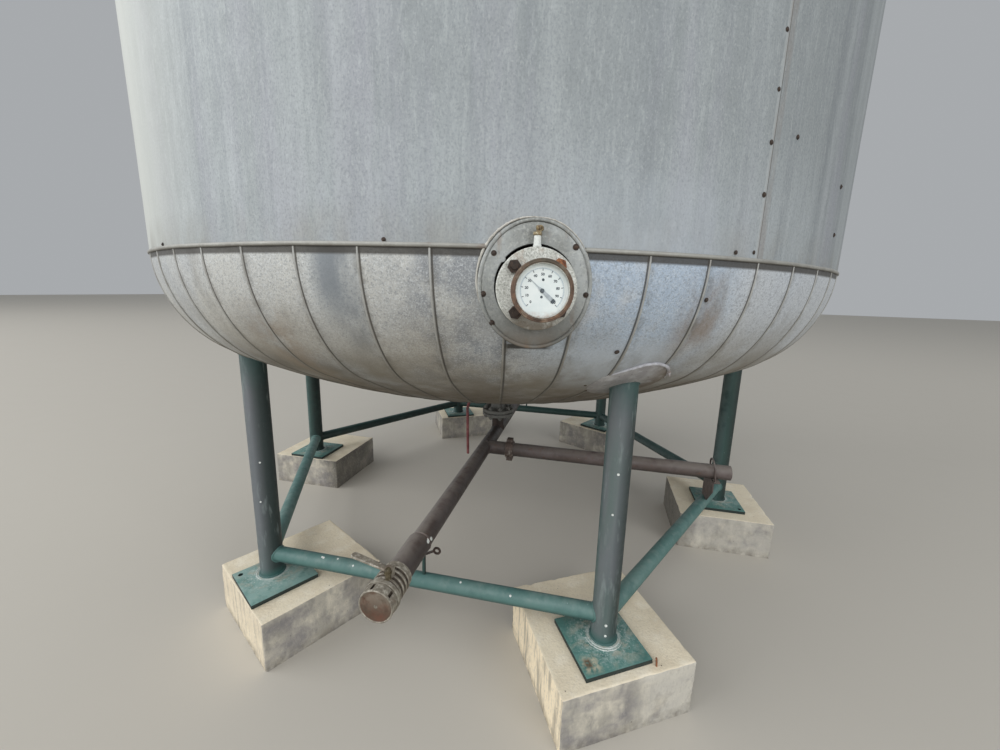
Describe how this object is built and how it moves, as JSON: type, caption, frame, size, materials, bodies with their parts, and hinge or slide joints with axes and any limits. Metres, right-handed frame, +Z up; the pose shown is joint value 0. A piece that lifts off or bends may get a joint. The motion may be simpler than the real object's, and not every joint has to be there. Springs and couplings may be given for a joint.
{
  "type": "insulated vertical storage tank on legs",
  "caption": "Clad vertical storage tank with dished ends, on tubular legs and concrete plinths, with a side thermometer and bottom pipework.",
  "frame": {"origin": "on the floor, under the tank's axis", "axes": "+Z up along the tank's axis, -Y towards the front cap of the bottom header, +X along the branch pipe"},
  "size_m": [3.2614, 3.3565, 5.2226],
  "materials": {
    "sheet_cladding": "weathered sheet, dull with vertical streaks",
    "gored_cladding": "weathered sheet, stained brown underneath",
    "trim_metal": "weathered edge trim",
    "green_paint": "chalked teal-green paint with pale specks",
    "concrete": "cast concrete, cream top and grey form-marked sides",
    "rusty_pipe": "brown-purple primer over light rust",
    "coupling_metal": "dull cast fittings with rust and lime",
    "flange_paint": "speckled light grey paint",
    "rusty_bezel": "rusted brown steel",
    "dial_face": "white enamelled dial",
    "pointer_paint": "dark grey paint",
    "tarnished_brass": "tarnished brass with lime",
    "red_primer": "faded red-brown primer"
  },
  "bodies": {
    "root": {"shell_course_1": "sheet_cladding", "shell_course_2": "sheet_cladding", "shell_course_3": "sheet_cladding", "bottom_dish": "gored_cladding", "top_dish": "gored_cladding", "leg_boot": "gored_cladding", "lower_bead": "trim_metal", "upper_bead": "trim_metal", "port_collar": "trim_metal", "leg_1": "green_paint", "leg_2": "green_paint", "leg_3": "green_paint", "leg_4": "green_paint", "leg_5": "green_paint", "leg_6": "green_paint", "brace_1": "green_paint", "brace_2": "green_paint", "brace_3": "green_paint", "brace_4": "green_paint", "brace_5": "green_paint", "brace_6": "green_paint", "base_plate_1": "green_paint", "base_plate_2": "green_paint", "base_plate_3": "green_paint", "base_plate_4": "green_paint", "base_plate_5": "green_paint", "base_plate_6": "green_paint", "front_pipe_bracket": "green_paint", "rear_pipe_bracket": "green_paint", "plinth_1": "concrete", "plinth_2": "concrete", "plinth_3": "concrete", "plinth_4": "concrete", "plinth_5": "concrete", "plinth_6": "concrete", "outlet_neck": "rusty_pipe", "drop_pipe": "rusty_pipe", "header_pipe": "rusty_pipe", "branch_stub": "rusty_pipe", "branch_pipe": "rusty_pipe", "branch_pipe_bracket": "rusty_pipe", "branch_coupling": "coupling_metal", "front_cap": "coupling_metal", "front_cap_lever": "coupling_metal", "rear_cap": "coupling_metal", "rear_cap_lever": "coupling_metal", "port_flange": "flange_paint", "gauge_case": "rusty_bezel", "gauge_bezel": "rusty_bezel", "gauge_dial": "dial_face", "gauge_pointer": "pointer_paint", "port_vent_plug": "tarnished_brass", "drain_tube": "red_primer"}
  },
  "joints": []
}
